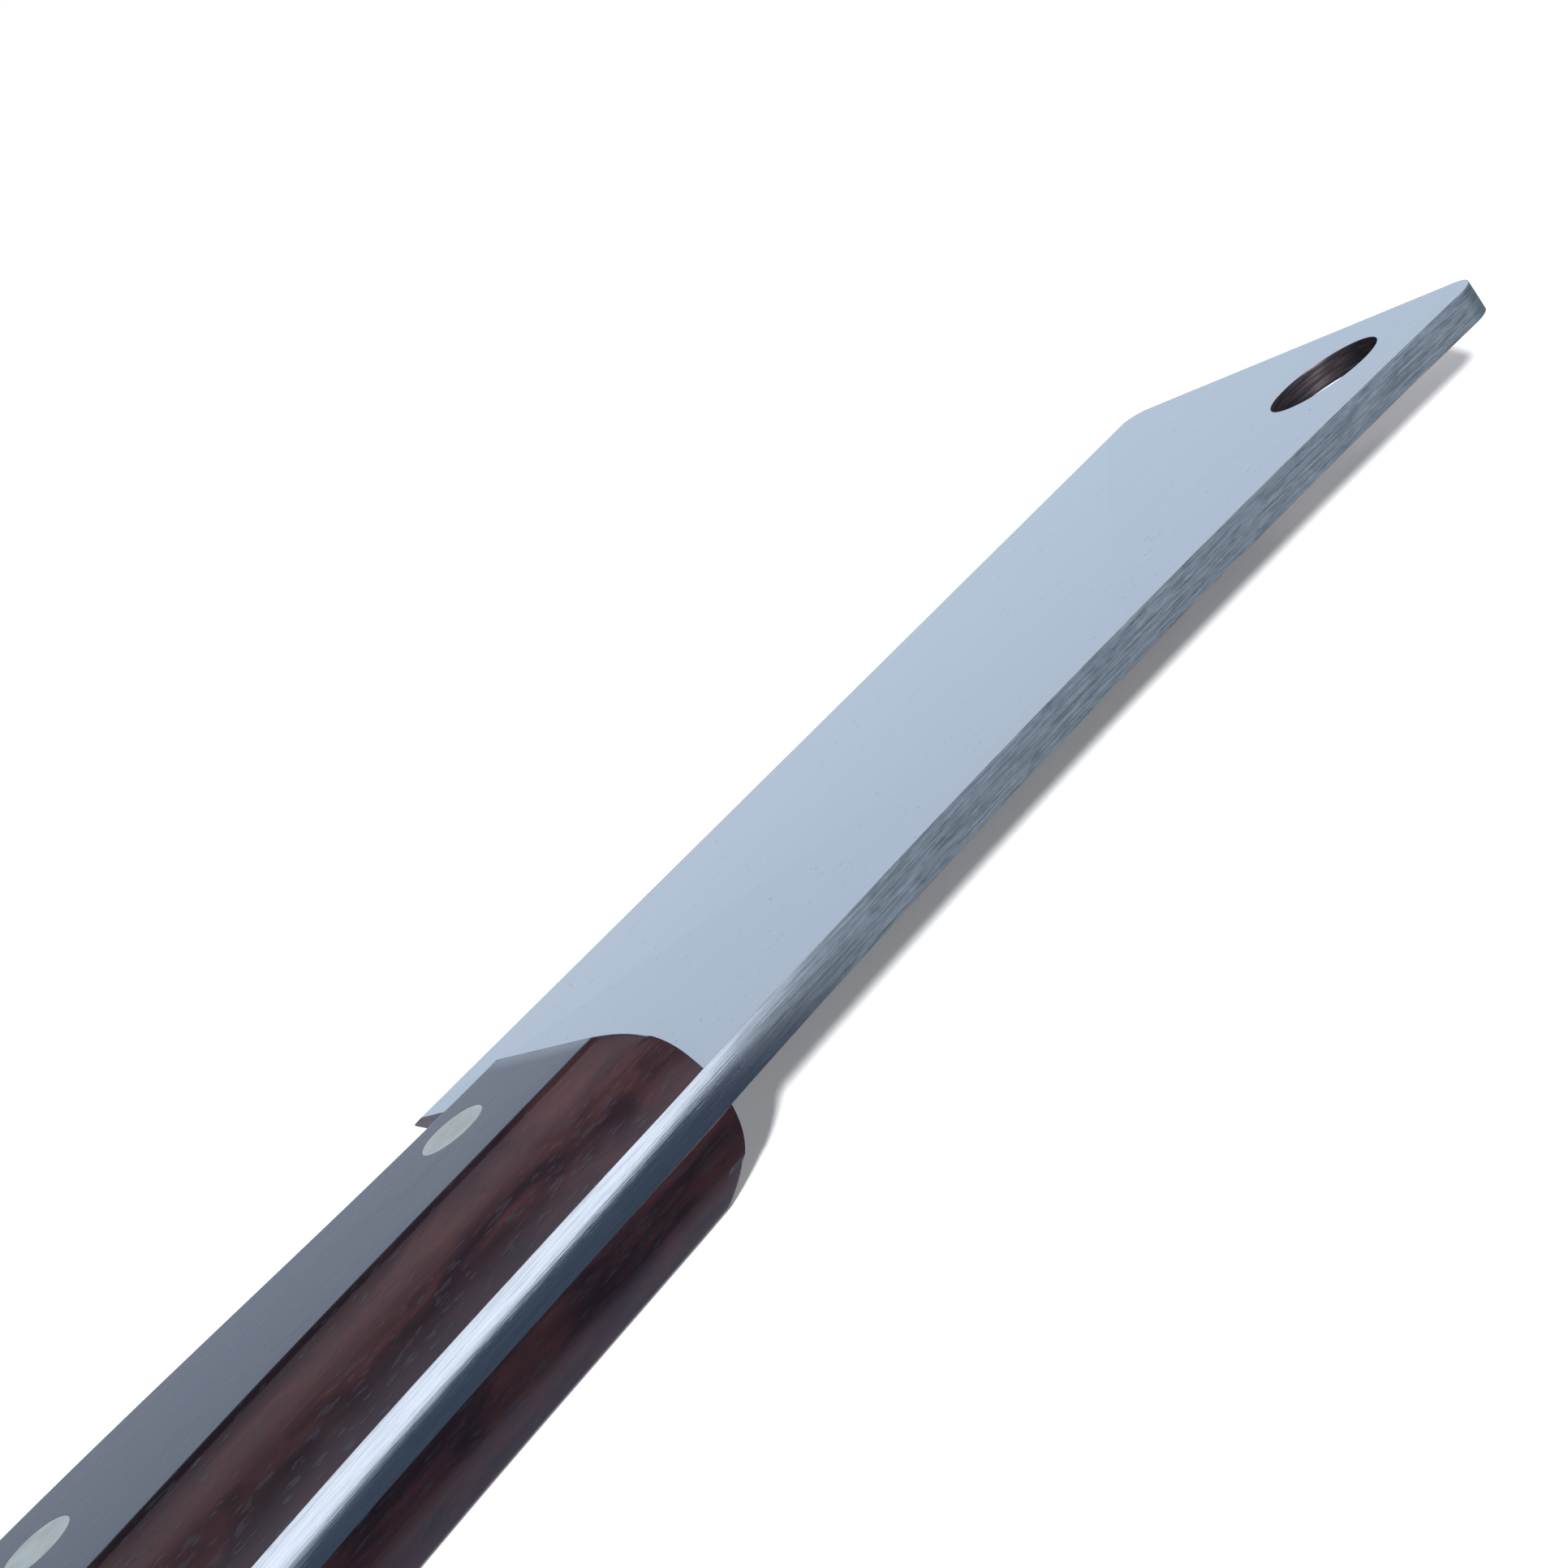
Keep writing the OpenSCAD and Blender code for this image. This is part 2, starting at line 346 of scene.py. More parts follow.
def rosewood():
    wood = Recipe("rosewood")
    bands = wood.noise(wood.stretched((14, 230, 230), turn=GRAIN_TURN), detail=4, distortion=0.5)
    mottle = wood.noise(wood.stretched((110, 380, 380), turn=GRAIN_TURN), detail=4, distortion=0.5)
    fibres = wood.noise(wood.stretched((90, 2600, 2600), turn=GRAIN_TURN), detail=3, rough=0.6)
    pore_noise = wood.noise(
        wood.stretched((560, 3600, 3600), turn=GRAIN_TURN, start=(3, 1, 2)), detail=1
    )
    pores = wood.level(pore_noise, 0.60, 0.70, smooth=True)
    tone = wood.ramp(
        wood.math("ADD", wood.math("MULTIPLY", bands, 0.4), wood.math("MULTIPLY", mottle, 0.6)),
        [(0.38, (0.006, 0.003, 0.005)), (0.47, (0.013, 0.006, 0.008)),
         (0.56, (0.030, 0.012, 0.013)), (0.68, (0.018, 0.008, 0.009))],
    )
    butt_darkening = wood.level(wood.axis("X"), at(0, 0).x, at(DARKEST_BEHIND, 0).x, 0.0, 0.75)
    tone = wood.mix(butt_darkening, tone, (0.003, 0.002, 0.003, 1))
    tone = wood.mix(wood.level(fibres, 0.35, 0.7, 0.0, 0.45), tone, (0.005, 0.004, 0.005, 1))
    tone = wood.mix(wood.math("MULTIPLY", pores, 0.6), tone, (0.012, 0.016, 0.021, 1))
    grain = wood.bump(fibres, 0.000002, 0.3)
    return wood.feed(
        Base_Color=tone, Roughness=wood.level(mottle, 0.3, 0.7, 0.17, 0.23), IOR=1.45,
        Specular_Tint=(0.95, 0.80, 1.0, 1), Coat_Weight=0.3, Coat_Roughness=0.2,
        Normal=wood.bump(pores, -0.00001, 0.5, under=grain),
    )


rosewood_finish = rosewood()

# %% [markdown]
# ## Nickel silver
#
# The rivet heads were sanded level with the wood, so they are satin with fine parallel scratches
# and a warm champagne tint beside the blue of the steel.


# %% Nickel silver
def nickel_silver():
    metal = Recipe("nickel_silver")
    scratches = metal.noise(metal.stretched((300, 4200, 4200), turn=(0, 0, 24)), detail=3)
    tarnish = metal.noise(metal.stretched((500, 500, 500)), detail=3)
    tone = metal.ramp(tarnish, [(0.3, (0.76, 0.73, 0.62)), (0.7, (0.90, 0.87, 0.76))])
    rough = metal.level(scratches, 0.3, 0.7, 0.30, 0.44)
    return metal.feed(
        Base_Color=tone, Metallic=1.0, Roughness=rough,
        Normal=metal.bump(scratches, 0.000004, 0.5),
    )


nickel_silver_finish = nickel_silver()
print("wood and rivet finishes:", rosewood_finish.name, nickel_silver_finish.name)

# %% [markdown]
# ## Outline of the steel
#
# Seen from the side the blade is bounded by five plain lines: the hollow sweep of the spine, a
# small round at the tip, the slanted front, a small round at the toe, and the straight cutting
# edge back to a sharp heel. The tang follows the handle. Each round is an arc that touches its
# neighbours, so only radii and angles are given, and the corner centres are worked out.

# %% Outline of the blade
SWEEP_R = 562.0          # the spine's hollow sweep
EDGE_DROP = 58.7         # from the handle's line to the cutting edge, at x = 0
EDGE_ANGLE = radians(4.36)
FRONT_X = 133.9          # the front, on the handle's line
FRONT_ANGLE = radians(10.6)
TIP_R = 4.5
TOE_R = 4.0
CHOIL_R = 2.0            # where the heel's back meets the handle's belly
GRIP_H = 28.9
SPINE_STEPS = 40
ROUND_CORNER_STEPS = 14
CHOIL_STEPS = 8


def arc(centre, radius, start, end, steps):
    """Points of an arc, from one angle to another."""
    turns = [start + (end - start) * i / steps for i in range(steps + 1)]
    return [(centre[0] + radius * cos(a), centre[1] + radius * sin(a)) for a in turns]


def spine_y(x):
    return sqrt(SWEEP_R**2 - x**2) - SWEEP_R


def edge_y(x):
    return EDGE_DROP - x * tan(EDGE_ANGLE)


def tip_centre():
    """The tip's round touches the sweep of the spine and the straight front."""
    base = Vector((FRONT_X - TIP_R / cos(FRONT_ANGLE), SWEEP_R))
    way = Vector((sin(FRONT_ANGLE), cos(FRONT_ANGLE)))
    along = base.dot(way)
    reach = sqrt(along**2 - base.dot(base) + (SWEEP_R + TIP_R) ** 2) - along
    return base.x + way.x * reach, base.y - SWEEP_R + way.y * reach


def toe_centre():
    """The toe's round touches the front and the cutting edge."""
    x = FRONT_X - TOE_R / cos(FRONT_ANGLE)
    y = EDGE_DROP - TOE_R / cos(EDGE_ANGLE) - x * tan(EDGE_ANGLE)
    y /= 1 + tan(FRONT_ANGLE) * tan(EDGE_ANGLE)
    return x + y * tan(FRONT_ANGLE), y


def blade_side():
    """From the spine at the handle's front, round the blade, to the belly."""
    tip = tip_centre()
    tip_turn = atan2(-SWEEP_R - tip[1], -tip[0])
    spine = [
        GRIP_FRONT + (tip[0] - GRIP_FRONT) * i / (SPINE_STEPS + 1)
        for i in range(SPINE_STEPS + 1)
    ]
    toe_turn = pi / 2 - EDGE_ANGLE
    points = [(x, spine_y(x)) for x in spine]
    points += arc(tip, TIP_R, tip_turn, -FRONT_ANGLE, ROUND_CORNER_STEPS)
    points += arc(toe_centre(), TOE_R, -FRONT_ANGLE, toe_turn, ROUND_CORNER_STEPS)
    points += [(HEEL_X, edge_y(HEEL_X))]
    points += arc((HEEL_X - CHOIL_R, GRIP_H + CHOIL_R), CHOIL_R, 0, -pi / 2, CHOIL_STEPS)
    return points


# %% Outline of the handle
GRIP_L = GRIP_FRONT - BUTT_X
BUTT_R = 12.0            # length over which the butt turns in
BUTT_BLUNT = 0.9         # share of the butt's height that the turn takes away
BELLY = 6.5
BELLY_BACK = 65.0        # from the handle's front to the middle of the belly
BELLY_REACH = 66.8
BUTT_DROP = 4.0
BACK_DIP = 1.1
DIP_REACH = 40.0
CROWN = 0.35             # fall of the tang's strip from its middle to its corners
BODY_STATIONS = 44
BUTT_STATIONS = 14


def hump(x, centre, reach):
    """A smooth hump of height 1 that fades to 0 at a distance of reach."""
    return (1 + cos(pi * (x - centre) / reach)) / 2 if abs(x - centre) < reach else 0.0


def straight_back(x):
    dips = hump(x, GRIP_FRONT - DIP_REACH, DIP_REACH) + hump(x, BUTT_X, DIP_REACH)
    return BACK_DIP * dips


def straight_belly(x):
    belly = BELLY * hump(x, GRIP_FRONT - BELLY_BACK, BELLY_REACH)
    return GRIP_H + belly + BUTT_DROP * hump(x, BUTT_X, DIP_REACH)


def butt_in(x):
    return max(0.0, (BUTT_X + BUTT_R - x) / BUTT_R)


def back_and_belly(x):
    """The outline closes on its middle line along the rounded butt."""
    back, belly = straight_back(x), straight_belly(x)
    centre = (back + belly) / 2
    spread = (belly - back) / 2 * sqrt(1 - BUTT_BLUNT * butt_in(x) ** 2)
    return centre - spread, centre + spread


def handle_stations():
    """Places along the handle, closer together where the butt turns in."""
    straight = GRIP_L - BUTT_R
    body = [GRIP_FRONT - straight * i / BODY_STATIONS for i in range(BODY_STATIONS + 1)]
    butt = [
        BUTT_X + BUTT_R * (1 - sin(pi / 2 * i / BUTT_STATIONS))
        for i in range(1, BUTT_STATIONS + 1)
    ]
    return body + butt


def tang_side():
    """From the belly at the handle's front, round the butt, to the back."""
    places = handle_stations()
    belly = [(x, back_and_belly(x)[1]) for x in places]
    back = [(x, back_and_belly(x)[0]) for x in reversed(places[1:])]
    return belly + back


print("outline points:", len(blade_side()), "blade,", len(tang_side()), "tang")

# %% [markdown]
# ## Grinding the steel
#
# A maker saws the outline from flat bar and grinds the sides until they meet near the edge. The
# same steps work here. The outline and the hang hole are filled as one flat sheet and extruded
# to the bar's thickness. The rim is divided through the thickness, because the strip between the
# scales is crowned. Cuts with a plane then lay down the lines where one ground surface meets the
# next, and every vertex is set to the thickness that the steel has at its place. Cutting first
# and thinning afterwards keeps each ground side truly flat, which a mirror-like finish needs.

# %% Thickness of the steel
TANG_STEP = 0.03         # the ground side lies this much below the tang's
TANG_LAP = 1.5           # and the grinding starts this far under the scales
TAPER_FORWARD = 0.0039   # half thickness lost for each millimetre forward
TAPER_DOWN = 0.0205      # and from the spine to the edge
BEVEL_SLOPE = tan(radians(16))
EDGE_HALF_T = 0.1
CROWN_RUN = 16.0         # the crown is complete this far behind the handle's front
CROWN_AHEAD = 26.0       # and starts this far ahead of it
FRONT_CROWN = 0.65       # share of the crown at the handle's front


def ground_half_t(x, y):
    """Half thickness on the ground side of the blade."""
    forward = (x - GRIP_FRONT + TANG_LAP) * TAPER_FORWARD
    return HALF_T - TANG_STEP - forward - y * TAPER_DOWN


def bevel_half_t(x, y):
    """Half thickness on the cutting bevel."""
    above_edge = (EDGE_DROP - y) * cos(EDGE_ANGLE) - x * sin(EDGE_ANGLE)
    return EDGE_HALF_T + above_edge * BEVEL_SLOPE


def steel_half_t(x, y):
    if x < GRIP_FRONT - 0.5:
        return HALF_T
    return min(ground_half_t(x, y), bevel_half_t(x, y))


def crown_at(x):
    """Fall of the rim from its middle to its corners, which starts ahead of the handle."""
    behind = CROWN * (1 - (1 - FRONT_CROWN) * hump(x, GRIP_FRONT, CROWN_RUN))
    ahead = CROWN * FRONT_CROWN * hump(x, GRIP_FRONT, CROWN_AHEAD)
    return behind if x < GRIP_FRONT else ahead


# %% Saw out the steel
RIM_LAYERS = 12
HOLE_R = 6.5
HOLE_STEPS = 96
hole_at = from_zero(mount_place("hang_hole"))


def ring(bm, points, z=0.0):
    """A closed loop of edges through points in millimetres."""
    verts = [bm.verts.new((x, y, z)) for x, y in points]
    return [bm.edges.new((a, b)) for a, b in zip(verts, verts[1:] + verts[:1])]


def cut(bm, point, normal):
    """Lays a line of edges across the mesh without removing anything."""
    everything = bm.verts[:] + bm.edges[:] + bm.faces[:]
    bmesh.ops.bisect_plane(
        bm, geom=everything, dist=1e-6, plane_co=point, plane_no=normal
    )


def sawn_steel():
    bm = bmesh.new()
    outline = blade_side() + tang_side()
    clean = [p for p, q in zip(outline, outline[1:] + outline[:1])
             if (Vector(p) - Vector(q)).length > 0.01]
    loops = ring(bm, clean) + ring(bm, arc(hole_at.xy, HOLE_R, 0, 2 * pi, HOLE_STEPS)[:-1])
    sheet = bmesh.ops.triangle_fill(bm, edges=loops, use_beauty=True, normal=(0, 0, 1))
    faces = [g for g in sheet["geom"] if isinstance(g, bmesh.types.BMFace)]
    raised = bmesh.ops.extrude_face_region(bm, geom=faces)["geom"]
    top = [g for g in raised if isinstance(g, bmesh.types.BMVert)]
    bmesh.ops.translate(bm, verts=top, vec=(0, 0, 1))
    bmesh.ops.translate(bm, verts=bm.verts, vec=(0, 0, -0.5))
    upright = [e for e in bm.edges if e.verts[0].co.z != e.verts[1].co.z]
    bmesh.ops.subdivide_edges(bm, edges=upright, cuts=RIM_LAYERS - 1)
    return bm


def bevel_line():
    """A point on the line where the ground side meets the cutting bevel, and its normal."""
    normal = Vector((
        BEVEL_SLOPE * sin(EDGE_ANGLE) - TAPER_FORWARD,
        BEVEL_SLOPE * cos(EDGE_ANGLE) - TAPER_DOWN,
        0,
    ))
    above = bevel_half_t(HEEL_X, 0) - ground_half_t(HEEL_X, 0)
    return Vector((HEEL_X, above / normal.y, 0)), normal


# %% Grind, crown and round the steel
CORNER = 0.16            # width of the softened corners
CROWN_STOP = 22.0        # no vertex further ahead of the handle's front is crowned
BACK_BAND = 4.0          # the back's rim lies above this height


def on_hole(point):
    return (point.xy - hole_at.xy).length < HOLE_R + 0.01


def grind(bm):
    cut(bm, (GRIP_FRONT, 0, 0), (1, 0, 0))
    cut(bm, (GRIP_FRONT - 1, 0, 0), (1, 0, 0))
    cut(bm, *bevel_line())
    for v in bm.verts:
        x, y, share = v.co.x, v.co.y, 2 * v.co.z
        v.co.z = share * steel_half_t(x, y)
        if on_hole(v.co) or x > GRIP_FRONT + CROWN_STOP or x < BUTT_X + 0.5:
            continue
        fall = crown_at(x) * share**2
        if y < BACK_BAND:
            v.co.y += fall
        elif y >= GRIP_H / 2 and x <= GRIP_FRONT:
            v.co.y -= fall


def finish_index(face):
    """Which of the steel's finishes a face has."""
    place = face.calc_center_median()
    on_rim = abs(face.normal.z) < 0.8
    heel_or_belly = place.y > GRIP_H and place.x < HEEL_X + 1
    # The hang hole's wall, the heel's back and the belly strip get the painted shade finish.
    if on_hole(place) or (on_rim and heel_or_belly):
        return PAINTED_SHADE_FINISH
    if on_rim:
        return SPINE
    if bevel_half_t(place.x, place.y) < ground_half_t(place.x, place.y):
        return BEVEL
    return GROUND


def corner_edges(bm):
    """Sharp corners of the blade that a finger would feel, but not the cutting edge."""
    found = []
    for e in bm.edges:
        here = (e.verts[0].co + e.verts[1].co) / 2
        if here.x <= GRIP_FRONT + 0.2 or not e.is_manifold:
            continue
        if steel_half_t(here.x, here.y) > 0.35 and e.calc_face_angle() > radians(38):
            found.append(e)
    return found


def into_frame(bm, name, materials):
    """Turns millimetres from the knife's zero into a finished object in the frame."""
    for v in bm.verts:
        v.co = at(*v.co)
    mesh = bpy.data.meshes.new(name)
    bm.to_mesh(mesh)
    bm.free()
    for material in materials:
        mesh.materials.append(material)
    obj = bpy.data.objects.new(name, mesh)
    scene.collection.objects.link(obj)
    return obj


def smooth(obj, angle):
    """Smooth shading that keeps flat sides flat and breaks at sharp corners."""
    for polygon in obj.data.polygons:
        polygon.use_smooth = True
    obj.data.set_sharp_from_angle(angle=radians(angle))
    weighted = obj.modifiers.new("even_normals", "WEIGHTED_NORMAL")
    weighted.keep_sharp = True
    weighted.weight = 100


def make_blade():
    bm = sawn_steel()
    grind(bm)
    bmesh.ops.recalc_face_normals(bm, faces=bm.faces)
    for face in bm.faces:
        face.material_index = finish_index(face)
    bmesh.ops.bevel(
        bm, geom=corner_edges(bm), offset=CORNER, offset_type="OFFSET", segments=3,
        profile=0.5, affect="EDGES", material=-1, clamp_overlap=True,
    )
    return into_frame(bm, "steel_blade", steel_finishes)


blade = make_blade()
smooth(blade, 30)
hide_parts("blade")
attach(blade, "root")
print("steel_blade:", len(blade.data.polygons), "faces")

# %% [markdown]
# ## Scales
#
# A scale is flat where it meets the tang and flat outside, with a round shoulder along the back
# and another along the belly. Cross sections of that shape are placed along the handle and
# bridged into a skin, the two ends are filled, and the rivet holes are cut out afterwards. One
# side is made, and the other is its mirror, as a maker shapes the pair together on the tang.

# %% Skin of a scale
ROUND_STEPS = 16
ROUND_FROM = radians(20)     # the part of an oval that a shoulder follows
ROUND_TO = radians(40)
BACK_ROUND = 4.1             # how far the shoulder comes in along the back
BELLY_ROUND = 8.8            # and along the belly
FRONT_LEAN = 3.8             # how far the front end leans back at the flat side
LEAN_RUN = 12.0
LEAN_BEND = 3.3
FLANK_Z = 9.2                # the flat side's height at the handle's front
SPREAD = tan(radians(0.15))  # how the flat side rises towards the butt
BUTT_THIN = 0.45
SCALE_CROWN_AT_FRONT = 0.15  # share of the strip's crown that the scales follow there
EASE = 2.1                   # softening of the edges along the flat side


def flank_z(x):
    return FLANK_Z + SPREAD * (GRIP_FRONT - x)


def part_oval(k):
    """How far in from the tang's edge, and how far out from it, as shares from 0 to 1."""
    turn = ROUND_FROM + (ROUND_TO - ROUND_FROM) * k
    return (
        (cos(ROUND_FROM) - cos(turn)) / (cos(ROUND_FROM) - cos(ROUND_TO)),
        (sin(turn) - sin(ROUND_FROM)) / (sin(ROUND_TO) - sin(ROUND_FROM)),
    )


def scale_section(x):
    back, belly = back_and_belly(x)
    fall = CROWN * (1 - (1 - SCALE_CROWN_AT_FRONT) * hump(x, GRIP_FRONT, CROWN_RUN))
    top, low = back + fall, belly - fall
    lean = FRONT_LEAN * max(0.0, 1 - (GRIP_FRONT - x) / LEAN_RUN)
    side = flank_z(max(x - lean, BUTT_X + BUTT_R))
    out = (side - HALF_T) * (1 - BUTT_THIN * butt_in(x) ** 2)
    upper, lower = BACK_ROUND - fall, BELLY_ROUND - fall
    fit = min(1.0, (low - top) / (upper + lower + 4))
    shares = [part_oval(i / ROUND_STEPS) for i in range(ROUND_STEPS + 1)]

    def point(y, z):
        return x - lean * z**LEAN_BEND, y, HALF_T + out * z

    return (
        [point(top + fit * upper * y, z) for y, z in reversed(shares)]
        + [point(low - fit * lower * y, z) for y, z in shares]
    )


def crease_edges(bm):
    """The long edges where a rounding meets the flat side."""
    return [
        e for e in bm.edges
        if e.is_manifold and e.calc_face_angle() > radians(25)
        and min(v.co.z for v in e.verts) > HALF_T + 3
        and abs(e.verts[0].co.x - e.verts[1].co.x) > abs(e.verts[0].co.y - e.verts[1].co.y)
    ]


def scale_skin():
    bm = bmesh.new()
    rings = []
    for x in handle_stations():
        verts = [bm.verts.new(p) for p in scale_section(x)]
        rings.append([bm.edges.new(pair) for pair in zip(verts, verts[1:] + verts[:1])])
    for ahead, behind in zip(rings, rings[1:]):
        bmesh.ops.bridge_loops(bm, edges=ahead + behind)
    bmesh.ops.contextual_create(bm, geom=rings[-1])
    bmesh.ops.bridge_loops(bm, edges=[e for e in rings[0] if e.calc_length() < 8])
    bmesh.ops.recalc_face_normals(bm, faces=bm.faces)
    bmesh.ops.bevel(
        bm, geom=crease_edges(bm), offset=EASE, offset_type="OFFSET", segments=5,
        profile=0.5, affect="EDGES", material=-1, clamp_overlap=True,
    )
    return bm


# %% Rivet holes and the two scales
HEAD_R = 3.05
HEAD_T = 1.8
TUBE_R = 2.4
STUD_R = 1.6
TURN_STEPS = 72


def rivet_place(which):
    return from_zero(middle(f"{which}_rivet_stud"))


def seat_z(which):
    return flank_z(rivet_place(which).x) - HEAD_T


def turned(bm, profile, which):
    """Spins a profile of (radius, height) once round a rivet's axis."""
    place = rivet_place(which)
    verts = [bm.verts.new((place.x + r, place.y, z)) for r, z in profile]
    edges = [bm.edges.new(pair) for pair in zip(verts, verts[1:])]
    bmesh.ops.spin(
        bm, geom=verts + edges, cent=(place.x, place.y, 0), axis=(0, 0, 1),
        angle=2 * pi, steps=TURN_STEPS, use_merge=True,
    )
    bmesh.ops.remove_doubles(bm, verts=bm.verts, dist=1e-4)
    bmesh.ops.recalc_face_normals(bm, faces=bm.faces)


def bore_tool():
    """What the drill and the counterbore take out of a scale, at all three rivets."""
    bm = bmesh.new()
    for which in RIVETS:
        seat = seat_z(which)
        turned(bm, [(0, 0.5), (TUBE_R, 0.5), (TUBE_R, seat), (HEAD_R, seat),
                    (HEAD_R, seat + 3 * HEAD_T), (0, seat + 3 * HEAD_T)], which)
    return into_frame(bm, "bore_tool", [])


def mirrored(obj, name):
    """The same piece on the other side of the blade's middle plane."""
    bm = bmesh.new()
    bm.from_mesh(obj.data)
    for v in bm.verts:
        v.co.z = 2 * ZERO.z - v.co.z
    bmesh.ops.reverse_faces(bm, faces=bm.faces)
    mesh = bpy.data.meshes.new(name)
    bm.to_mesh(mesh)
    bm.free()
    for material in obj.data.materials:
        mesh.materials.append(material)
    twin = bpy.data.objects.new(name, mesh)
    scene.collection.objects.link(twin)
    return twin


def applied(obj):
    """The mesh with its modifiers applied, in place of the live ones."""
    graph = bpy.context.evaluated_depsgraph_get()
    done = bpy.data.meshes.new_from_object(obj.evaluated_get(graph))
    obj.modifiers.clear()
    obj.data = done


def make_scales():
    left = into_frame(scale_skin(), "rosewood_left", [rosewood_finish])
    tool = bore_tool()
    drill = left.modifiers.new("drill", "BOOLEAN")
    drill.operation = "DIFFERENCE"
    drill.object = tool
    drill.solver = "EXACT"
    applied(left)
    bpy.data.objects.remove(tool)
    return left, mirrored(left, "rosewood_right")


for scale, node in zip(make_scales(), ("left_scale", "right_scale")):
    smooth(scale, 40)
    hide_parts(node)
    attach(scale, "root")
    print(f"{scale.name}: {len(scale.data.polygons)} faces")

# %% [markdown]
# ## Rivets
#
# Each rivet is two turned pieces: a stud whose plain shank is pressed into a tube. Their heads
# sit in the counterbores and are sanded level with the handle's side, which leans out slightly
# towards the butt, so each head is cut off along that leaning plane and its rim softened.

# %% Rivets
TUBE_FLOOR = 0.5         # how far the tube's bore stops short of its head's seat
STUD_GAP = 0.8           # left between the stud's end and the bottom of that bore
LEAD_IN = 0.3            # chamfer on the stud's end
RIM = 0.06


def sand_level(bm):
    """Takes off what stands above the side of the handle and closes the cut."""
    everything = bm.verts[:] + bm.edges[:] + bm.faces[:]
    normal = Vector((SPREAD, 0, 1)).normalized()
    cut_edges = bmesh.ops.bisect_plane(
        bm, geom=everything, dist=1e-6, plane_co=(GRIP_FRONT, 0, FLANK_Z),
        plane_no=normal, clear_outer=True,
    )["geom_cut"]
    rim = [g for g in cut_edges if isinstance(g, bmesh.types.BMEdge)]
    bmesh.ops.contextual_create(bm, geom=rim)
    bmesh.ops.recalc_face_normals(bm, faces=bm.faces)
    bmesh.ops.bevel(
        bm, geom=rim, offset=RIM, offset_type="OFFSET", segments=3,
        profile=0.5, affect="EDGES", material=-1, clamp_overlap=True,
    )


def make_stud(which):
    bm = bmesh.new()
    seat = seat_z(which)
    end = TUBE_FLOOR + STUD_GAP - seat
    turned(bm, [(0, end), (STUD_R - LEAD_IN, end), (STUD_R, end + LEAD_IN), (STUD_R, seat),
                (HEAD_R, seat), (HEAD_R, seat + 2 * HEAD_T), (0, seat + 2 * HEAD_T)], which)
    sand_level(bm)
    return into_frame(bm, f"{which}_stud", [nickel_silver_finish])


def make_tube(which):
    """Built head up, like the stud, then turned over to the right side."""
    bm = bmesh.new()
    seat = seat_z(which)
    turned(bm, [(0, seat - TUBE_FLOOR), (STUD_R, seat - TUBE_FLOOR), (STUD_R, -seat),
                (TUBE_R, -seat), (TUBE_R, seat), (HEAD_R, seat), (HEAD_R, seat + 2 * HEAD_T),
                (0, seat + 2 * HEAD_T)], which)
    sand_level(bm)
    for v in bm.verts:
        v.co.z = -v.co.z
    bmesh.ops.reverse_faces(bm, faces=bm.faces)
    return into_frame(bm, f"{which}_tube", [nickel_silver_finish])


for which in RIVETS:
    for piece, node in ((make_stud(which), f"{which}_rivet_stud"),
                        (make_tube(which), f"{which}_rivet_tube")):
        smooth(piece, 40)
        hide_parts(node)
        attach(piece, "root")
        print(f"{piece.name}: {len(piece.data.polygons)} faces")

# %% [markdown]
# ## Studio
#
# Metal shows its surroundings, so the studio is most of the look. To the camera there is only
# white paper with a soft shadow, and the Light Path node sees to that. What the steel mirrors is
# a room: pale walls low down on both sides, a dark ceiling with one long lamp, and a floor with
# painted shade close to the knife. The walls make the ground side blue-grey and the polished strip
# bright, and the painted shade makes the spine dark. One soft sun from just above the camera
# leaves a narrow shadow along the spine.

# %% Floor
FLOOR_SIZE = 60.0
MIRRORED_SHADE_END = -0.0645      # Y at which the painted shade on the mirrored floor turns pale, in the middle of the knife
MIRRORED_SHADE_SLANT = 0.66       # and how that line slants across the floor
MIRRORED_SHADE_FADE = 0.025
MIRRORED_SHADE_BEHIND = (0.025, 0.045)    # Y at which the painted shade behind the cutting edge turns grey
PAPER_GLOW = 0.16        # light of the paper's own, which lifts it to white
UNDER_GLOW = (0.36, 0.35, 0.42, 1)
UNDER_Y = (-0.0205, -0.0190)     # the glow lies under the handle, from its back on
UNDER_X = (0.004, -0.004)


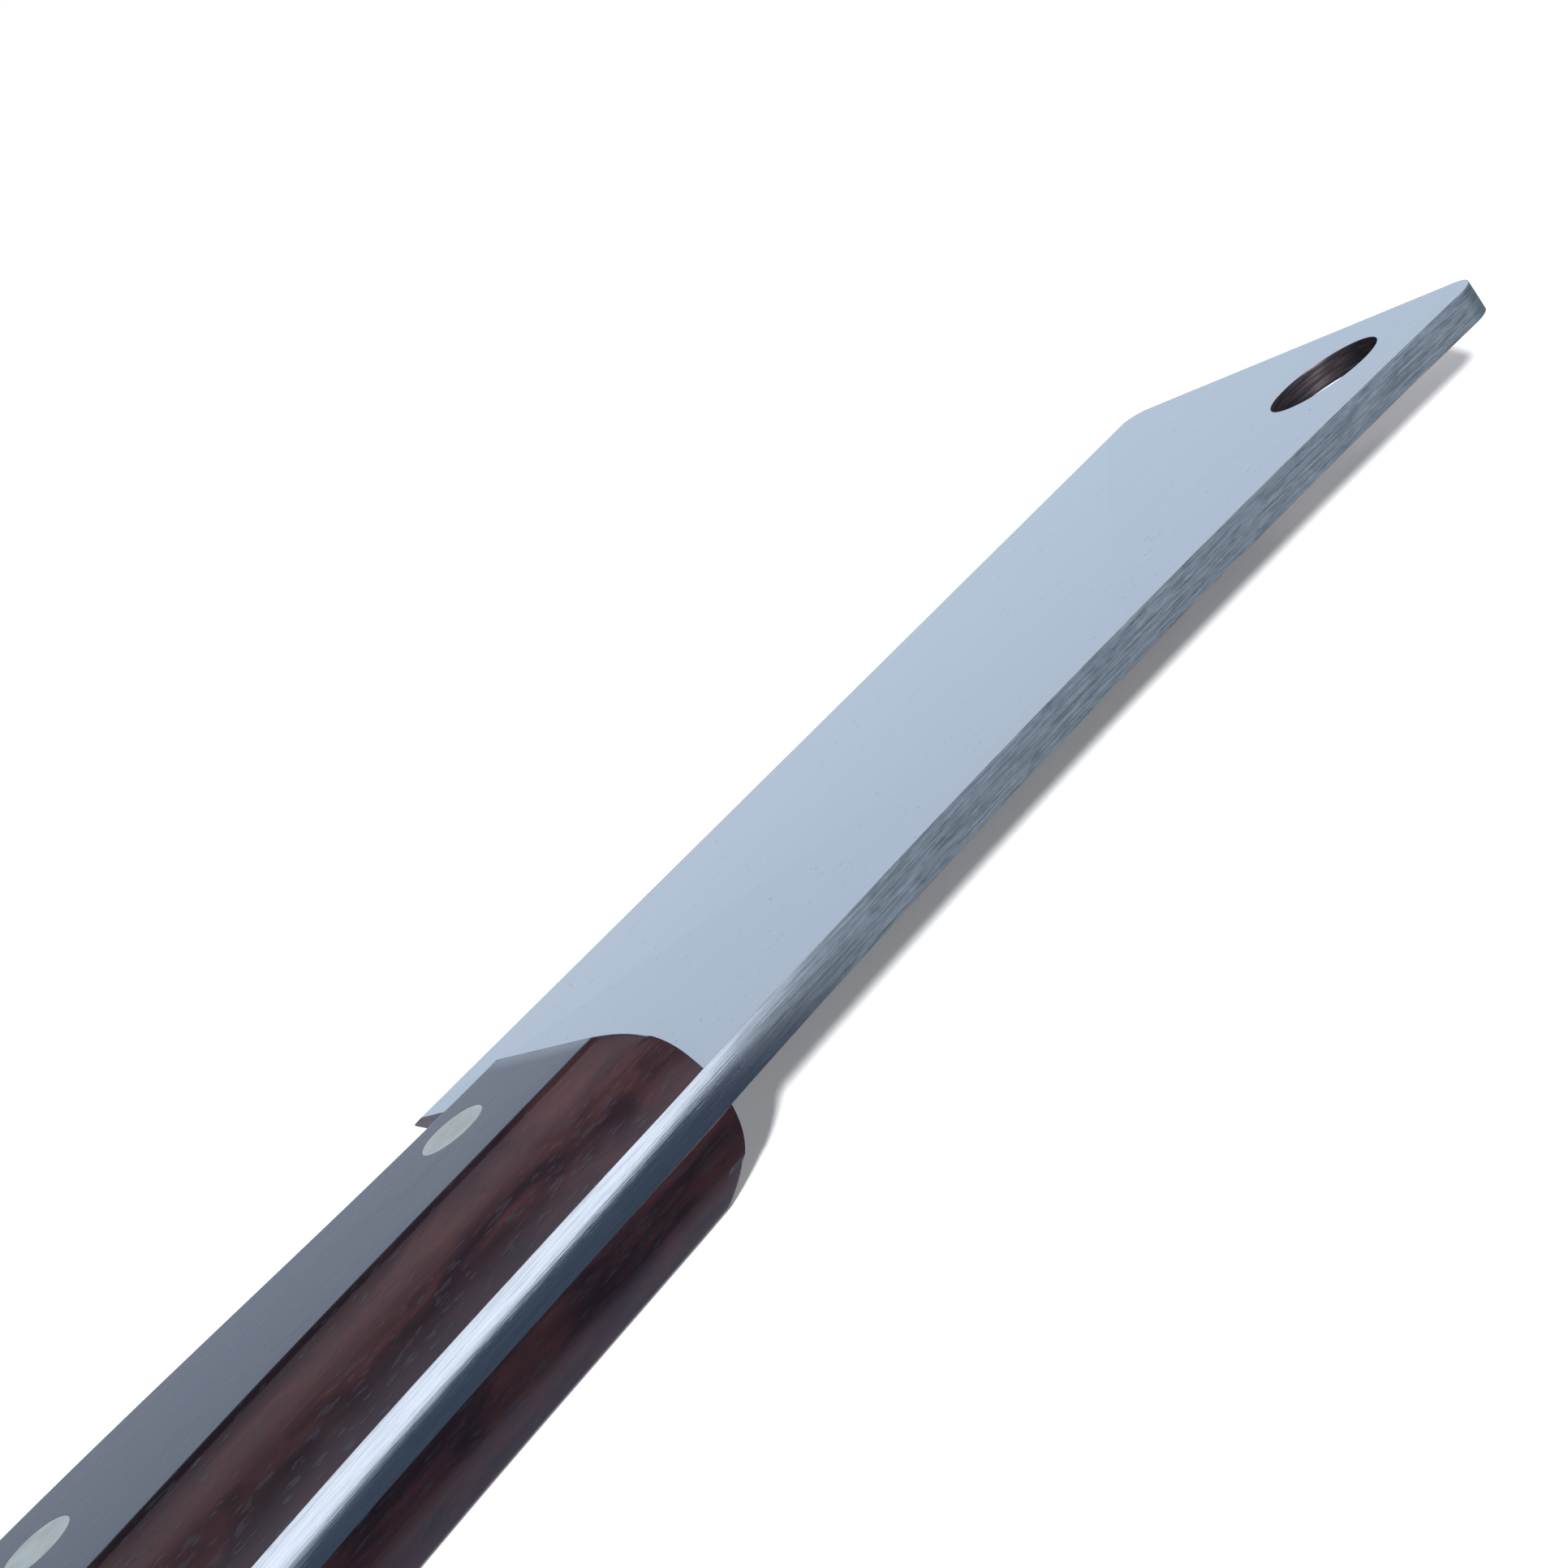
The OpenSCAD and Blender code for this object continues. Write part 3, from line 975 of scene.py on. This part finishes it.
def make_floor():
    bm = bmesh.new()
    bmesh.ops.create_grid(bm, x_segments=1, y_segments=1, size=FLOOR_SIZE / 2)
    mesh = bpy.data.meshes.new("floor")
    bm.to_mesh(mesh)
    bm.free()
    floor = bpy.data.objects.new("floor", mesh)
    scene.collection.objects.link(floor)
    paper = Recipe("floor_paper")
    seen = paper.nodes.new("ShaderNodeLightPath").outputs["Is Camera Ray"]
    slanted = paper.math(
        "ADD", paper.axis("Y"), paper.math("MULTIPLY", paper.axis("X"), MIRRORED_SHADE_SLANT)
    )
    pale = paper.level(slanted, MIRRORED_SHADE_END, MIRRORED_SHADE_END - MIRRORED_SHADE_FADE, smooth=True)
    behind = paper.level(paper.axis("Y"), *MIRRORED_SHADE_BEHIND)
    # Painted shade: to mirrored rays the floor is near black close to the knife and pale beyond
    # it.
    shaded_mirrored_floor = paper.mix(pale, (0.04, 0.055, 0.08, 1), (0.85, 0.9, 0.95, 1))
    shaded_mirrored_floor = paper.mix(behind, shaded_mirrored_floor, (0.45, 0.48, 0.52, 1))
    under = paper.math(
        "MULTIPLY", paper.level(paper.axis("Y"), *UNDER_Y), paper.level(paper.axis("X"), *UNDER_X)
    )
    unseen_glow = paper.mix(under, (0, 0, 0, 1), UNDER_GLOW)
    glow = paper.mix(seen, unseen_glow, (PAPER_GLOW,) * 3 + (1,))
    mesh.materials.append(paper.feed(
        Base_Color=paper.mix(seen, shaded_mirrored_floor, (0.9, 0.9, 0.9, 1)), Roughness=0.95,
        Specular_IOR_Level=0.0, Emission_Color=glow, Emission_Strength=1.0,
    ))
    return floor


floor = make_floor()
print(f"floor: {FLOOR_SIZE:.0f} m square, on the surface that the knife lies on")


# %% Room
# Each wall is a list of heights, from 0 at the horizon to 1 overhead, with the light there.
FAR_WALL = [
    (0.0, (0.60, 0.74, 0.92)), (0.20, (0.62, 0.76, 0.93)), (0.29, (0.46, 0.58, 0.74)),
    (0.44, (0.41, 0.52, 0.66)), (0.62, (0.14, 0.15, 0.18)), (1.0, (0.10, 0.10, 0.12)),
]
NEAR_WALL = [
    (0.0, (1.10, 1.16, 1.24)), (0.34, (1.05, 1.10, 1.18)), (0.42, (0.10, 0.11, 0.13)),
    (0.60, (0.10, 0.11, 0.13)), (0.65, (1.5, 1.3, 1.25)), (0.72, (1.5, 1.3, 1.25)),
    (0.78, (0.10, 0.10, 0.12)), (1.0, (0.10, 0.10, 0.12)),
]
WALL_BLEND = 0.15        # how gradually one wall gives way to the other


def make_room():
    world = bpy.data.worlds.new("studio")
    scene.world = world
    world.use_nodes = True
    nodes, links = world.node_tree.nodes, world.node_tree.links
    background = nodes["Background"]
    way = nodes.new("ShaderNodeTexCoord").outputs["Generated"]
    split = nodes.new("ShaderNodeSeparateXYZ")
    links.new(way, split.inputs["Vector"])

    def wall(stops):
        ramp = nodes.new("ShaderNodeValToRGB")
        links.new(split.outputs["Z"], ramp.inputs["Fac"])
        for _ in stops[2:]:
            ramp.color_ramp.elements.new(0.5)
        for element, (position, colour) in zip(ramp.color_ramp.elements, stops):
            element.position = position
            element.color = (*colour, 1)
        return ramp.outputs["Color"]

    def blend(factor, a, b):
        mix = nodes.new("ShaderNodeMix")
        mix.data_type = "RGBA"
        links.new(factor, mix.inputs["Factor"])
        for value, socket in ((a, mix.inputs["A"]), (b, mix.inputs["B"])):
            if hasattr(value, "is_output"):
                links.new(value, socket)
            else:
                socket.default_value = value
        return mix.outputs["Result"]

    side = nodes.new("ShaderNodeMapRange")
    links.new(split.outputs["Y"], side.inputs["Value"])
    side.inputs["From Min"].default_value = -WALL_BLEND
    side.inputs["From Max"].default_value = WALL_BLEND
    seen = nodes.new("ShaderNodeLightPath").outputs["Is Camera Ray"]
    room = blend(side.outputs["Result"], wall(NEAR_WALL), wall(FAR_WALL))
    links.new(blend(seen, room, (1, 1, 1, 1)), background.inputs["Color"])


make_room()
print("room: pale walls, dark ceiling, one long lamp")


# %% Sun
SUN_HEIGHT = 23.0        # degrees above the floor, a little more than the camera
SUN_TURN = 47.0          # degrees from X towards Y, the way that its light travels
SUN_POWER = 7.5
SUN_SPREAD = 5.0         # degrees across, which softens the shadow


def make_sun():
    data = bpy.data.lights.new("soft_sun", "SUN")
    data.energy = SUN_POWER
    data.angle = radians(SUN_SPREAD)
    light = bpy.data.objects.new("soft_sun", data)
    scene.collection.objects.link(light)
    up, turn = radians(SUN_HEIGHT), radians(SUN_TURN)
    aim(light, (cos(up) * cos(turn), cos(up) * sin(turn), -sin(up)))


make_sun()
scene.view_settings.view_transform = "Standard"
